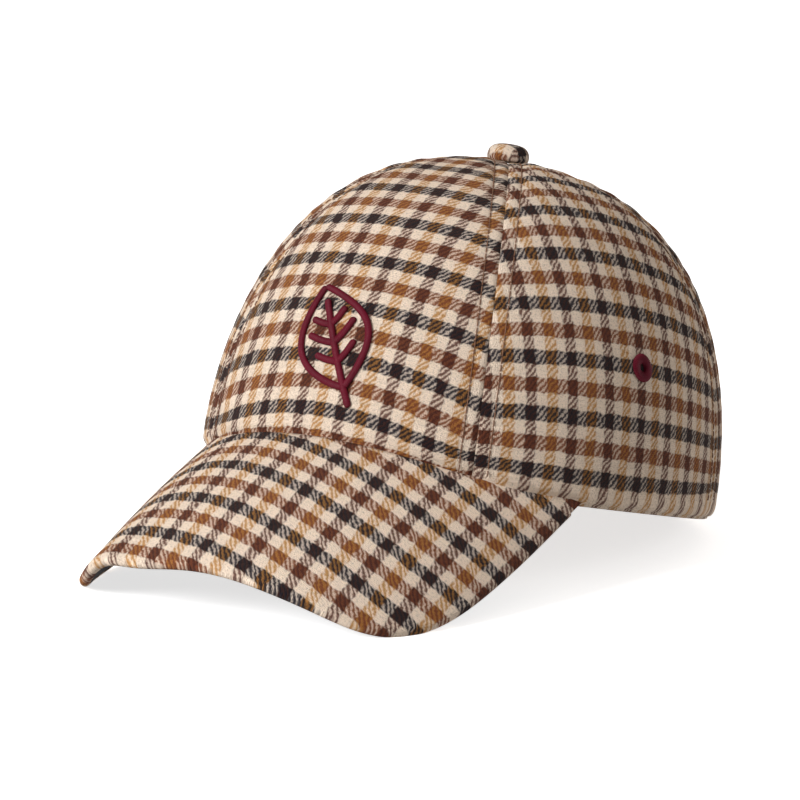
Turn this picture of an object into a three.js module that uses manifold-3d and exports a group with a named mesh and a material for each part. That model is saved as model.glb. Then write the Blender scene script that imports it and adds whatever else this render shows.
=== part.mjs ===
// A tweed baseball cap, standing on a table by itself on the corners of its visor and the back of its rim.
//
// The cap's own frame: +Z up through the crown, -Y to the front, +X to the wearer's left, and the
// origin at the middle of the rim. Angles round the crown are measured from the front towards +X.
// Lengths are in millimetres and angles in degrees, unless a name says otherwise.
import * as THREE from "three";
import { mergeVertices } from "three/addons/utils/BufferGeometryUtils.js";
import Module from "manifold-3d";

const wasm = await Module();
wasm.setup();

// Crown: five cloth panels that meet under the button, one in front and two pairs behind it.
const CROWN_LENGTH = 198;
const CROWN_WIDTH = 164;
const CROWN_HEIGHT = 109.8;
const TOP_SETBACK = 2.5;
const FRONT_PANEL_ANGLE = 65;
const SIDE_PANEL_ANGLE = 82;
const CLOTH_THICKNESS = 2;
const PLAN_ROUNDNESS = 2.06;
const FRONT_ROUNDNESS = { across: 2.44, up: 1.99 };
const BACK_ROUNDNESS = { across: 2.31, up: 2.58 };
const RIM_TUCK_DEPTH = 2.2;
const RIM_TUCK_HEIGHT = 16;

// Seams between the panels: each panel's edge rolls down into the seam.
const SEAM_ROLL_DEPTH = 0.7;
const SEAM_ROLL_WIDTH = 2.6;
const SEAM_GAP = 0.3;

// Visor: a flat-cut board, bent over an arch that narrows a little and curls down towards the front.
const VISOR_JOIN_HEIGHT = 9.3;
const VISOR_SLOPE = 31.7;
const VISOR_ARCH_RADIUS = 86.5;
const VISOR_ARCH_TAPER = 0.078;
const VISOR_CURL = 7.7;
const VISOR_HALF_WIDTH = 84.3;
const VISOR_REACH = 68.6;
const VISOR_SQUARENESS = 3.9;
const VISOR_THICKNESS = 4;
const VISOR_TOP_THICKNESS = 2;
const VISOR_LIP_WIDTH = 3.4;

// Button on the top of the crown, with its shank in the hole where the panels meet.
const BUTTON_DIAMETER = 12.8;
const BUTTON_HEIGHT = 5;
const BUTTON_SHANK_DIAMETER = 3;
const BUTTON_SHANK_LENGTH = 3.2;
const BUTTON_PROFILE = [
  { out: 0.86, up: 0 },
  { out: 0.97, up: 0.13 },
  { out: 1, up: 0.34 },
  { out: 0.97, up: 0.55 },
  { out: 0.87, up: 0.75 },
  { out: 0.68, up: 0.9 },
  { out: 0.36, up: 0.98 },
  { out: 0, up: 1 },
];

// Sewn air holes, one in the middle of each side panel.
const EYELET_DIAMETER = 9.4;
const EYELET_HOLE = 2.8;
const EYELET_SLEEVE = 0.6;
const EYELET_RISE = 1.1;
const EYELET_HEIGHT = 46;
const EYELET_PROFILE = [
  { out: 1, up: 0 },
  { out: 1, up: 0.45 },
  { out: 0.8, up: 0.9 },
  { out: 0.5, up: 1 },
  { out: 0.12, up: 0.75 },
  { out: 0, up: 0.2 },
];

// Raised embroidery in the middle of the front panel: a plain leaf.
const LEAF_LENGTH = 38;
const LEAF_WIDTH = 24;
const LEAF_HEIGHT_ON_PANEL = 43;
const LEAF_LEAN = 28;
const LEAF_LINE_WIDTH = 2.4;
const LEAF_RISE = 1.1;
const LEAF_OUTLINE = { bluntness: 0.9, stemHeavy: 0.3 };
// Places along the leaf run from -0.5 at the stem to 0.5 at the point, as shares of its length.
const LEAF_STEM = [-0.68, -0.3, 0.05, 0.36];
// Each vein starts on the stem and reaches a share of the way to the outline, climbing as it goes.
const LEAF_VEINS = [
  { along: -0.26, reach: 0.62 },
  { along: -0.08, reach: 0.72 },
  { along: 0.1, reach: 0.7 },
];
const LEAF_VEIN_LEAD = 0.12;
const LEAF_VEIN_CURVE = [
  { out: 0, climb: 0 },
  { out: 0.5, climb: 0.32 },
  { out: 1, climb: 0.75 },
];
// A stitched line's section, in half widths and rises.
const STITCH_SECTION = [
  { out: 1, up: 0 },
  { out: -1, up: 0 },
  { out: -0.7, up: 0.8 },
  { out: 0, up: 1 },
  { out: 0.7, up: 0.8 },
];

// Rest: cloth gives a little where it stands on the table.
const FIT_GAP = 0.3;
const RESTING_PRESS = 1.2;

const { sin, cos, asin, atan2, exp, hypot, abs, min, max, PI } = Math;
const rad = THREE.MathUtils.degToRad;
const mix = THREE.MathUtils.lerp;
const BACK_PANEL_ANGLE = (360 - FRONT_PANEL_ANGLE - 2 * SIDE_PANEL_ANGLE) / 2;
const SIDE_PANEL_MIDDLE = (FRONT_PANEL_ANGLE + SIDE_PANEL_ANGLE) / 2;
const PANELS = [
  { name: "front_panel", middle: 0, width: FRONT_PANEL_ANGLE },
  { name: "side_panel_left", middle: SIDE_PANEL_MIDDLE, width: SIDE_PANEL_ANGLE },
  { name: "back_panel_left", middle: 180 - BACK_PANEL_ANGLE / 2, width: BACK_PANEL_ANGLE },
  { name: "back_panel_right", middle: BACK_PANEL_ANGLE / 2 - 180, width: BACK_PANEL_ANGLE },
  { name: "side_panel_right", middle: -SIDE_PANEL_MIDDLE, width: SIDE_PANEL_ANGLE },
];
const VISOR_FRONT = new THREE.Vector3(0, -CROWN_LENGTH / 2, VISOR_JOIN_HEIGHT);
const VISOR_FORWARD = new THREE.Vector3(0, -cos(rad(VISOR_SLOPE)), -sin(rad(VISOR_SLOPE)));
const VISOR_UP = new THREE.Vector3(0, -sin(rad(VISOR_SLOPE)), cos(rad(VISOR_SLOPE)));

// The value between low and high where test turns from true to false.
function turningPoint(low, high, test) {
  for (let step = 0; step < 40; step++) {
    const middle = (low + high) / 2;
    if (test(middle)) low = middle;
    else high = middle;
  }
  return (low + high) / 2;
}

// Shape of the crown

// How round the crown is at an angle: the front and the back have their own roundness.
function roundness(angle, key) {
  const front = (1 + cos(angle)) / 2;
  return mix(BACK_ROUNDNESS[key], FRONT_ROUNDNESS[key], front);
}

// The lift is the climb along the crown's profile, in radians: 0 at the rim's plane, PI / 2 at the top.
function liftAtHeight(angle, height) {
  return asin((max(height, 0) / CROWN_HEIGHT) ** (roundness(angle, "up") / 2));
}

// The height, the distance from the crown's middle line and the setback of that line at a lift.
function crownProfile(angle, lift) {
  const n = PLAN_ROUNDNESS;
  const across = abs(sin(angle) / (CROWN_WIDTH / 2)) ** n;
  const along = abs(cos(angle) / (CROWN_LENGTH / 2)) ** n;
  const height = CROWN_HEIGHT * sin(lift) ** (2 / roundness(angle, "up"));
  const inward = cos(lift) ** (2 / roundness(angle, "across"));
  const tuck = RIM_TUCK_DEPTH * max(0, 1 - height / RIM_TUCK_HEIGHT) ** 2;
  const radius = (across + along) ** (-1 / n) * inward - tuck;
  return { height, radius, setback: TOP_SETBACK * (1 - inward) };
}

// A point of the crown's outer face. Below the rim's plane the profile goes straight down.
function crownPoint(angle, lift) {
  const { height, radius, setback } = crownProfile(angle, lift);
  return new THREE.Vector3(radius * sin(angle), setback - radius * cos(angle), height);
}

function crownNormal(angle, lift) {
  const step = 1e-3;
  const safe = min(max(lift, 2 * step), PI / 2 - 2 * step);
  const round = crownPoint(angle + step, safe).sub(crownPoint(angle - step, safe));
  const up = crownPoint(angle, safe + step).sub(crownPoint(angle, safe - step));
  return round.cross(up).normalize();
}

function crownRadiusAt(point) {
  const angle = atan2(point.x, -point.y);
  const outer = crownPoint(angle, liftAtHeight(angle, point.z));
  return hypot(outer.x, outer.y);
}

// Shape of the visor

function archRadius(forward) {
  return VISOR_ARCH_RADIUS - VISOR_ARCH_TAPER * forward;
}

function curlDrop(forward) {
  return VISOR_CURL * (max(forward, 0) / VISOR_REACH) ** 2;
}

// A point of the visor from its flat-cut place: across and forward from the middle of its seam,
// and its depth below the top face.
function visorPoint(across, forward, depth) {
  const radius = archRadius(forward);
  const turn = across / radius;
  return VISOR_FRONT.clone()
    .addScaledVector(VISOR_FORWARD, forward)
    .addScaledVector(VISOR_UP, (radius - depth) * cos(turn) - radius - curlDrop(forward))
    .add(new THREE.Vector3((radius - depth) * sin(turn), 0, 0));
}

// Whether a point lies below the face that is at a depth in the visor.
function isBelowVisor(point, depth) {
  const from = point.clone().sub(VISOR_FRONT);
  const forward = from.dot(VISOR_FORWARD);
  const radius = archRadius(forward);
  return hypot(from.x, from.dot(VISOR_UP) + curlDrop(forward) + radius) < radius - depth;
}

// How far forward the visor's face starts, against the crown and a small gap clear of it.
function visorStart(across, depth) {
  return turningPoint(-CROWN_LENGTH / 2, CROWN_LENGTH / 4, (forward) => {
    const point = visorPoint(across, forward, depth);
    return hypot(point.x, point.y) < crownRadiusAt(point) + FIT_GAP;
  });
}

const VISOR_END_FORWARD = visorStart(VISOR_HALF_WIDTH, VISOR_THICKNESS / 2);
const visorEnd = visorPoint(VISOR_HALF_WIDTH, VISOR_END_FORWARD, VISOR_THICKNESS / 2);
const VISOR_END_ANGLE = atan2(visorEnd.x, -visorEnd.y);

// The flat-cut edge of the visor, an oval with squared corners: turn runs from -PI / 2 to PI / 2 along it.
function visorEdge(turn) {
  const n = VISOR_SQUARENESS;
  const size = (abs(sin(turn)) ** n + abs(cos(turn)) ** n) ** (-1 / n);
  return new THREE.Vector2(
    VISOR_HALF_WIDTH * size * sin(turn),
    VISOR_END_FORWARD + (VISOR_REACH - VISOR_END_FORWARD) * size * cos(turn),
  );
}

// The edge moved in by a margin, at right angles to itself.
function visorInset(turn, margin) {
  const step = 1e-3;
  const along = visorEdge(turn + step).sub(visorEdge(turn - step)).normalize();
  return visorEdge(turn).add(new THREE.Vector2(along.y, -along.x).multiplyScalar(margin));
}

// The crown's lower edge: level with the visor's underside where that is sewn on, and flat elsewhere.
function rimHeight(angle) {
  if (abs(angle) > VISOR_END_ANGLE) return 0;
  const sewn = turningPoint(0, CROWN_HEIGHT / 3, (height) =>
    isBelowVisor(crownPoint(angle, liftAtHeight(angle, height)), VISOR_THICKNESS),
  );
  return sewn;
}

// Standing on the table

const EDGE_STEPS = 240;
const EDGE_TURNS = Array.from({ length: EDGE_STEPS + 1 }, (_, i) => (i / EDGE_STEPS - 0.5) * PI);

function heightWhenPitched(point, pitch) {
  return point.z * cos(pitch) - point.y * sin(pitch);
}

function lowestOfVisor(pitch) {
  const heights = EDGE_TURNS.map((turn) => {
    const edge = visorEdge(turn);
    return heightWhenPitched(visorPoint(edge.x, edge.y, VISOR_THICKNESS / 2), pitch);
  });
  return min(...heights) - VISOR_THICKNESS / 4;
}

function lowestOfBack(pitch) {
  return heightWhenPitched(crownPoint(PI, 0), pitch);
}

// The pitch, nose up, at which the visor's corners and the back of the rim stand equally low.
const PITCH = turningPoint(0, rad(40), (pitch) => lowestOfVisor(pitch) < lowestOfBack(pitch));
const LIFT_TO_TABLE = -lowestOfBack(PITCH) - RESTING_PRESS;

// Where cloth would go through the table, it is pressed flat on it.
function pressedOnTable(point) {
  const height = heightWhenPitched(point, PITCH) + LIFT_TO_TABLE;
  if (height >= 0) return point;
  return point.clone().add(new THREE.Vector3(0, sin(PITCH), -cos(PITCH)).multiplyScalar(height));
}

// Building closed meshes

function geometryFrom(points, faces) {
  const geometry = new THREE.BufferGeometry();
  const pressed = points.map(pressedOnTable);
  geometry.setAttribute("position", new THREE.Float32BufferAttribute(pressed.flatMap((p) => p.toArray()), 3));
  geometry.setIndex(faces);
  geometry.computeVertexNormals();
  return geometry;
}

// Joins closed rings of points, each with as many as the next, and caps both ends with the triangles given.
function loftRings(rings, capFaces) {
  const count = rings[0].length;
  const faces = [];
  for (let r = 0; r + 1 < rings.length; r++) {
    for (let i = 0; i < count; i++) {
      const a = r * count + i;
      const b = r * count + ((i + 1) % count);
      faces.push(a, b, a + count, b, b + count, a + count);
    }
  }
  const last = (rings.length - 1) * count;
  for (const [a, b, c] of capFaces) faces.push(a, c, b, last + a, last + b, last + c);
  return geometryFrom(rings.flat(), faces);
}

// The triangles that close a ring which runs out over one face, round an edge and back over the other:
// pairs of rows across the layer, then a fan over the edge.
function layerCap(rows, edgePoints) {
  const count = 2 * rows + edgePoints;
  const lastEdge = rows + edgePoints - 1;
  const faces = [];
  for (let i = 0; i < rows; i++) {
    const across = (count - i) % count;
    const acrossBack = count - 1 - i;
    if (i > 0) faces.push([i - 1, i, acrossBack], [i - 1, acrossBack, across]);
  }
  faces.push([rows - 1, rows, lastEdge], [rows - 1, lastEdge, lastEdge + 1]);
  for (let i = rows; i + 1 < lastEdge; i++) faces.push([i, i + 1, lastEdge]);
  return faces;
}

function toManifold(geometry) {
  const bare = geometry.clone();
  bare.deleteAttribute("normal");
  bare.deleteAttribute("uv");
  const merged = mergeVertices(bare, 1e-4);
  const triVerts = new Uint32Array(merged.index.array);
  const vertProperties = merged.attributes.position.array;
  return new wasm.Manifold(new wasm.Mesh({ numProp: 3, vertProperties, triVerts }));
}

function fromManifold(solid) {
  const mesh = solid.getMesh();
  const geometry = new THREE.BufferGeometry();
  geometry.setAttribute("position", new THREE.BufferAttribute(mesh.vertProperties, 3));
  geometry.setIndex(new THREE.BufferAttribute(mesh.triVerts, 1));
  geometry.computeVertexNormals();
  return geometry;
}

const MATERIALS = {
  tweed: new THREE.MeshStandardMaterial({ color: "#b79f86", roughness: 0.95, metalness: 0 }),
  lining_cloth: new THREE.MeshStandardMaterial({ color: "#16151a", roughness: 0.9, metalness: 0 }),
  thread: new THREE.MeshStandardMaterial({ color: "#6e1a30", roughness: 0.6, metalness: 0 }),
};

function piece(name, geometry, material) {
  const mesh = new THREE.Mesh(geometry, MATERIALS[material]);
  mesh.name = name;
  return mesh;
}

// Crown panels

const PANEL_COLUMNS = 10;
const PANEL_ROWS = 17;
const ROW_CROWDING = 1.15;
// The wall's lower edge is level: its thickness is measured level there, and square to the cloth
// from this climb upwards.
const LEVEL_EDGE_CLIMB = 0.12;
const TIP_RADIUS = BUTTON_SHANK_DIAMETER / 2 + FIT_GAP;

// The lift at which the crown has narrowed to the small hole for the button's shank.
function tipLift(angle) {
  return turningPoint(0, PI / 2, (lift) => crownProfile(angle, lift).radius > TIP_RADIUS);
}

// A point of a panel: side runs from -1 to 1 between its seams, climb from 0 at the rim to 1 at the tip.
function panelPoint(panel, side, climb, depth) {
  const halfWidth = rad(panel.width / 2);
  const seamAngle = rad(panel.middle) + side * halfWidth;
  const lift = mix(liftAtHeight(seamAngle, rimHeight(seamAngle)), tipLift(seamAngle), climb);
  const { radius } = crownProfile(seamAngle, lift);
  const angle = seamAngle - side * asin(SEAM_GAP / 2 / radius);
  const toSeam = (1 - abs(side)) * halfWidth * radius;
  const roll = SEAM_ROLL_DEPTH * exp(-((toSeam / SEAM_ROLL_WIDTH) ** 2));
  const outwards = crownNormal(angle, lift);
  outwards.z *= min(1, climb / LEVEL_EDGE_CLIMB);
  return crownPoint(angle, lift).addScaledVector(outwards.normalize(), -roll - depth);
}

function crownPanel(panel) {
  const sides = Array.from({ length: PANEL_COLUMNS + 1 }, (_, i) => sin((i / PANEL_COLUMNS - 0.5) * PI));
  const rings = [];
  for (let row = 0; row <= PANEL_ROWS; row++) {
    const climb = 1 - (1 - row / PANEL_ROWS) ** ROW_CROWDING;
    const outer = sides.map((side) => panelPoint(panel, side, climb, 0));
    const inner = sides.map((side) => panelPoint(panel, side, climb, CLOTH_THICKNESS));
    rings.push([...outer, ...inner.reverse()]);
  }
  const cap = [];
  for (let i = 0; i < PANEL_COLUMNS; i++) {
    const across = 2 * PANEL_COLUMNS + 1 - i;
    cap.push([i, i + 1, across], [i + 1, across - 1, across]);
  }
  return piece(panel.name, loftRings(rings, cap), "tweed");
}

// Visor

const VISOR_SEGMENTS = 44;
const VISOR_ROWS = 7;
const EDGE_ROUND_STEPS = 4;
const LAST_TURN = rad(88.5);
const TAPER_LENGTH = 3 * VISOR_LIP_WIDTH;
const TOP_TURNS = [...Array(VISOR_SEGMENTS + 1).keys()].map((i) => mix(-LAST_TURN, LAST_TURN, i / VISOR_SEGMENTS));
const UNDERSIDE_TURNS = TOP_TURNS.slice(1, -1);

// Rings of points through a layer of the visor. The outline has rows of { inset, depth } at the free
// edge; before and after it, rows run from the seam at the crown to the edge and back again. The insets
// taper towards the ends of the visor, and the clearance doesn't.
function visorLayer(topDepth, bottomDepth, edgeRows, clearance, turns) {
  const rings = [];
  for (const turn of turns) {
    const taper = min(1, (visorEdge(turn).y - VISOR_END_FORWARD) / TAPER_LENGTH);
    const row = (depth, inset, share) => {
      const margin = inset * taper + clearance;
      const edge = visorInset(turn, margin);
      const seamAcross = (VISOR_HALF_WIDTH - margin) * sin(turn);
      const across = mix(seamAcross, edge.x, share);
      const forward = mix(visorStart(seamAcross, depth), edge.y, share);
      return visorPoint(across, max(forward, visorStart(across, depth)), depth);
    };
    const first = edgeRows[0];
    const last = edgeRows[edgeRows.length - 1];
    const shares = Array.from({ length: VISOR_ROWS }, (_, i) => i / VISOR_ROWS);
    rings.push([
      ...shares.map((share) => row(topDepth, first.inset, share)),
      ...edgeRows.map(({ inset, depth }) => row(depth, inset, 1)),
      ...shares.reverse().map((share) => row(bottomDepth, last.inset, share)),
    ]);
  }
  return loftRings(rings, layerCap(VISOR_ROWS, edgeRows.length));
}

// The top cloth wraps round the free edge and ends in a narrow lip below.
function visorTop() {
  const radius = VISOR_THICKNESS / 2;
  const edgeRows = [];
  for (let step = 0; step <= EDGE_ROUND_STEPS; step++) {
    const turn = (step / EDGE_ROUND_STEPS) * PI;
    edgeRows.push({ inset: radius * (1 - sin(turn)), depth: radius * (1 - cos(turn)) });
  }
  edgeRows.push({ inset: VISOR_LIP_WIDTH, depth: VISOR_THICKNESS });
  edgeRows.push({ inset: VISOR_LIP_WIDTH, depth: VISOR_TOP_THICKNESS });
  return piece("visor_top", visorLayer(0, VISOR_TOP_THICKNESS, edgeRows, 0, TOP_TURNS), "tweed");
}

// The dark underside lies inside the lip.
function visorUnderside() {
  const upper = VISOR_TOP_THICKNESS + FIT_GAP;
  const edgeRows = [
    { inset: VISOR_LIP_WIDTH, depth: upper },
    { inset: VISOR_LIP_WIDTH, depth: VISOR_THICKNESS },
  ];
  const layer = visorLayer(upper, VISOR_THICKNESS, edgeRows, 1.5 * FIT_GAP, UNDERSIDE_TURNS);
  return piece("visor_underside", layer, "lining_cloth");
}

// Button and eyelets

const ROUND_STEPS = 20;

function lathe(profile, steps) {
  const points = profile.map(([x, y]) => new THREE.Vector2(x, y));
  return new THREE.LatheGeometry(points, steps).rotateX(PI / 2);
}

function topButton() {
  const shank = BUTTON_SHANK_DIAMETER / 2;
  const profile = [[0, -BUTTON_SHANK_LENGTH], [shank, -BUTTON_SHANK_LENGTH], [shank, 0]];
  for (const { out, up } of BUTTON_PROFILE) profile.push([out * (BUTTON_DIAMETER / 2), up * BUTTON_HEIGHT]);
  const button = piece("top_button", lathe(profile, ROUND_STEPS), "tweed");
  button.position.set(0, TOP_SETBACK, CROWN_HEIGHT + FIT_GAP);
  return button;
}

// Turns +Z of a piece to stand out from the crown at a place on it.
function standOn(mesh, angle, lift, clearance) {
  const normal = crownNormal(angle, lift);
  mesh.position.copy(crownPoint(angle, lift)).addScaledVector(normal, clearance);
  mesh.quaternion.setFromUnitVectors(new THREE.Vector3(0, 0, 1), normal);
  mesh.updateMatrix();
  return mesh;
}

function eyelet(name, angle) {
  const bore = EYELET_HOLE / 2;
  const sleeve = bore + EYELET_SLEEVE;
  const profile = [[bore, -CLOTH_THICKNESS], [sleeve, -CLOTH_THICKNESS], [sleeve, 0]];
  for (const { out, up } of EYELET_PROFILE) {
    profile.push([mix(bore, EYELET_DIAMETER / 2, out), up * EYELET_RISE]);
  }
  profile.push([bore, -CLOTH_THICKNESS]);
  const ring = piece(name, lathe(profile, ROUND_STEPS), "thread");
  return standOn(ring, angle, liftAtHeight(angle, EYELET_HEIGHT), FIT_GAP);
}

// Cuts the air hole that an eyelet's sleeve goes through.
function withAirHole(panel, angle) {
  const radius = EYELET_HOLE / 2 + EYELET_SLEEVE + FIT_GAP;
  const drill = new THREE.CylinderGeometry(radius, radius, 6 * CLOTH_THICKNESS, ROUND_STEPS);
  const bar = new THREE.Mesh(drill.rotateX(PI / 2));
  standOn(bar, angle, liftAtHeight(angle, EYELET_HEIGHT), 0);
  const cut = toManifold(panel.geometry).subtract(toManifold(bar.geometry.applyMatrix4(bar.matrix)));
  panel.geometry = fromManifold(cut);
  return panel;
}

// Embroidered leaf

const LEAF_STEPS = 12;

// A place on the front panel, measured on the cloth from the leaf's middle.
function onFrontPanel(across, up, rise) {
  const middleLift = liftAtHeight(0, LEAF_HEIGHT_ON_PANEL);
  const step = 1e-3;
  const perRadian = crownPoint(0, middleLift + step).distanceTo(crownPoint(0, middleLift)) / step;
  const lift = middleLift + up / perRadian;
  const radius = -crownPoint(0, lift).y;
  const angle = across / radius;
  return crownPoint(angle, lift).addScaledVector(crownNormal(angle, lift), FIT_GAP + rise);
}

// A stitched line along a route of flat points, closed at its ends.
function stitchedLine(route) {
  const lean = rad(LEAF_LEAN);
  const half = LEAF_LINE_WIDTH / 2;
  const section = STITCH_SECTION.map(({ out, up }) => [half * out, LEAF_RISE * up]);
  const rings = route.map(([x, y], i) => {
    const [x0, y0] = route[max(i - 1, 0)];
    const [x1, y1] = route[min(i + 1, route.length - 1)];
    const length = hypot(x1 - x0, y1 - y0);
    return section.map(([side, rise]) => {
      const px = x + (side * (y1 - y0)) / length;
      const py = y - (side * (x1 - x0)) / length;
      return onFrontPanel(px * cos(lean) - py * sin(lean), px * sin(lean) + py * cos(lean), rise);
    });
  });
  return loftRings(rings, [[0, 1, 2], [0, 2, 4], [2, 3, 4]]);
}

// Half the leaf's width at a place along it.
function leafHalfWidth(along) {
  const { bluntness, stemHeavy } = LEAF_OUTLINE;
  return (LEAF_WIDTH / 2) * sin(PI * (along + 0.5)) ** bluntness * (1 - stemHeavy * along);
}

function leafEdge(flip) {
  return Array.from({ length: LEAF_STEPS + 1 }, (_, i) => {
    const along = i / LEAF_STEPS - 0.5;
    return [flip * leafHalfWidth(along), along * LEAF_LENGTH];
  });
}

function leafVein(flip, { along, reach }) {
  const tip = leafHalfWidth(along + LEAF_VEIN_LEAD) * reach;
  return LEAF_VEIN_CURVE.map(({ out, climb }) => [flip * tip * out, along * LEAF_LENGTH + tip * climb]);
}

function embroideredLeaf() {
  const lines = [leafEdge(1), leafEdge(-1), LEAF_STEM.map((along) => [0, along * LEAF_LENGTH])];
  for (const vein of LEAF_VEINS) lines.push(leafVein(-1, vein), leafVein(1, vein));
  const joined = lines.map((line) => toManifold(stitchedLine(line))).reduce((all, line) => all.add(line));
  return piece("embroidered_leaf", fromManifold(joined), "thread");
}

// The whole cap

function cap() {
  const group = new THREE.Group();
  for (const panel of PANELS) group.add(crownPanel(panel));
  for (const [suffix, flip] of [["left", 1], ["right", -1]]) {
    const angle = flip * rad(SIDE_PANEL_MIDDLE);
    withAirHole(group.getObjectByName(`side_panel_${suffix}`), angle);
    group.add(eyelet(`eyelet_${suffix}`, angle));
  }
  group.add(topButton(), visorTop(), visorUnderside(), embroideredLeaf());
  group.rotation.x = -PITCH;
  group.position.z = LIFT_TO_TABLE;
  return group;
}

// The origin is on the table, under the middle of the cap's box.
function centred(group) {
  const whole = new THREE.Group();
  whole.add(group);
  const box = new THREE.Box3().setFromObject(whole, true);
  group.position.x -= (box.min.x + box.max.x) / 2;
  group.position.y -= (box.min.y + box.max.y) / 2;
  return whole;
}

export default centred(cap());
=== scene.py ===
"""A baseball cap in gun club check tweed on a pale floor, in soft studio light."""
import math

import bpy
import numpy as np
from mathutils import Matrix, Vector


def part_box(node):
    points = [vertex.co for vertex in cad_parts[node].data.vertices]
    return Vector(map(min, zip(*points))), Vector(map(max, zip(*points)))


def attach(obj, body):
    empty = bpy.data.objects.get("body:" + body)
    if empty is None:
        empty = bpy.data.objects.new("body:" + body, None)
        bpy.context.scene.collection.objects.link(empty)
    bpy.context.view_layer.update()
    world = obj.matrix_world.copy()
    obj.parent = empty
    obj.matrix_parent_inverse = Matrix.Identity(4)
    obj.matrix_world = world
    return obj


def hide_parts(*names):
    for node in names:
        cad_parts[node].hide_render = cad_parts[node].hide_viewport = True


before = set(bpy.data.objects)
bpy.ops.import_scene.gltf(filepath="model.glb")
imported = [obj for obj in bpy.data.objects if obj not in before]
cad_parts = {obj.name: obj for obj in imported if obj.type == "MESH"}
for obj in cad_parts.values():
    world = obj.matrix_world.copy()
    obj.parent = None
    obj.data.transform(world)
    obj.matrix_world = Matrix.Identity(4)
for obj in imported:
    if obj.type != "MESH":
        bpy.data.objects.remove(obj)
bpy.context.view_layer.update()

# Lengths are in millimetres in the cap's own frame: +Z up through the crown, -Y to the front and +X to
# the wearer's left, with the origin at the middle of the rim. Meshes are made in metres.
MM = 0.001

# Clearance between pieces that are sewn to each other
FIT_GAP = 0.3

# Crown
CROWN_LENGTH = 198
CROWN_WIDTH = 164
CROWN_HEIGHT = 109.8
TOP_SETBACK = 2.5
FRONT_PANEL_ANGLE = 65
SIDE_PANEL_ANGLE = 82
CLOTH_THICKNESS = 2
PLAN_ROUNDNESS = 2.06
FRONT_ROUNDNESS = {"across": 2.44, "up": 1.99}
BACK_ROUNDNESS = {"across": 2.31, "up": 2.58}
RIM_TUCK_DEPTH = 2.2
RIM_TUCK_HEIGHT = 16

# Seams of the crown. The cloth rolls in at a seam and at the row of stitches on each side of it, and puffs
# and puckers beside the stitches. The overlap keeps a hairline gap from showing between two panels.
SEAM_OVERLAP = 0.1
SEAM_ROLL_DEPTH = 0.55
SEAM_ROLL_WIDTH = 0.8
TOPSTITCH_DISTANCE = 4.6
TOPSTITCH_DEPTH = 0.5
TOPSTITCH_WIDTH = 0.6
STITCH_LENGTH = 2.7
STITCH_PULL = 0.4
PUFF_HEIGHT = 0.8
PUFF_WIDTH = 6.0
PUCKER_HEIGHT = 0.22
PUCKER_LENGTH = 9.0
PUCKER_WANDER = {"turn": 1.3, "length": 7}
# The stitches pull harder towards the top: their tension at these shares of the panel's height
TENSION_HEIGHTS = (0.35, 0.85)
TENSIONS = (0.25, 1)

# Lower edge of the crown: it rolls in behind the visor, and its hem is a little fuller and curls under
JOIN_ROLL_DEPTH = 1.3
JOIN_ROLL_WIDTH = 1.8
HEM_CURL_DEPTH = 2.0
HEM_CURL_HEIGHT = 3.8
HEM_FULLNESS = 0.8

# Visor
VISOR_JOIN_HEIGHT = 9.3
VISOR_SLOPE = 31.7
VISOR_ARCH_RADIUS = 86.5
VISOR_ARCH_TAPER = 0.078
VISOR_CURL = 7.7
VISOR_HALF_WIDTH = 84.3
VISOR_REACH = 68.6
VISOR_SQUARENESS = 3.9
VISOR_THICKNESS = 4
VISOR_TOP_THICKNESS = 2
VISOR_LIP_WIDTH = 2.2
# How far the visor's layers reach into the crown's cloth, so that no gap shows along their seam
VISOR_TUCK = 1.3
# The visor is bent by hand: its front edge is lifted beside the corners, more on the wearer's right, and
# the corner itself turns down there, so that the dark underside shows.
HAND_LIFT = {"left": 0.6, "right": 5.2}
HAND_LIFT_PLACE = 43
HAND_LIFT_WIDTH = 15
CORNER_DROP = 2.6
CORNER_DROP_PLACE = (82, 22)
CORNER_DROP_WIDTH = (12, 17)

# Button, air holes and embroidery
BUTTON_DIAMETER = 12.8
BUTTON_HEIGHT = 5
BUTTON_PADDING = {"width": 1.4, "height": 1.2}
EYELET_DIAMETER = 9.4
EYELET_HOLE = 2.8
EYELET_RISE = 1.1
EYELET_HEIGHT = 46
EYELET_STITCHES = 46
LEAF_LENGTH = 38
LEAF_WIDTH = 24
LEAF_HEIGHT_ON_PANEL = 43
LEAF_LEAN = 28
LEAF_LINE_WIDTH = 2.4
LEAF_RISE = 1.1

# The check: chocolate and ochre warp stripes across the cloth, navy and brown weft stripes up it
WARP_REPEAT = 15.1
WEFT_REPEAT = 18.9
# The front is eased over the forehead: away from one level, its rows fan out a little towards the seams.
FRONT_FAN = 0.14
FRONT_FAN_HALF_WIDTH = 39
FRONT_FAN_LIMIT = 1.3
FRONT_LEVEL = 58
FRONT_STRETCH = 1.07
# The cloth is pulled under at the hem, so the check's lowest row is longer.
HEM_STRETCH = 2.4
HEM_STRETCH_HEIGHT = 3.5
VISOR_CROSSING = (-1.6, 3.6)
VISOR_WARP_REPEAT = 16.7
VISOR_ASKEW = 8.6
VISOR_ASKEW_HALF_WIDTH = 100

# How far the lowest cloth is pressed flat where the cap stands
RESTING_PRESS = 1.2

# The view, fitted to the photograph. The target is a point on the cap's middle line.
VIEW_AZIMUTH = 31.07
VIEW_ELEVATION = 10.19
VIEW_ROLL = 1.41
VIEW_DISTANCE = 1480
VIEW_PIXELS_PER_MM = 2.9673
VIEW_TARGET_HEIGHT = 50
VIEW_TARGET_PIXEL = (462.6, 394.1)
PHOTO_SIZE = 800
SENSOR_WIDTH = 36


# Shape of the crown

HALVINGS = 32
SMALL_STEP = 1e-3


def mix(first, second, share):
    return first + (second - first) * share


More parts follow.
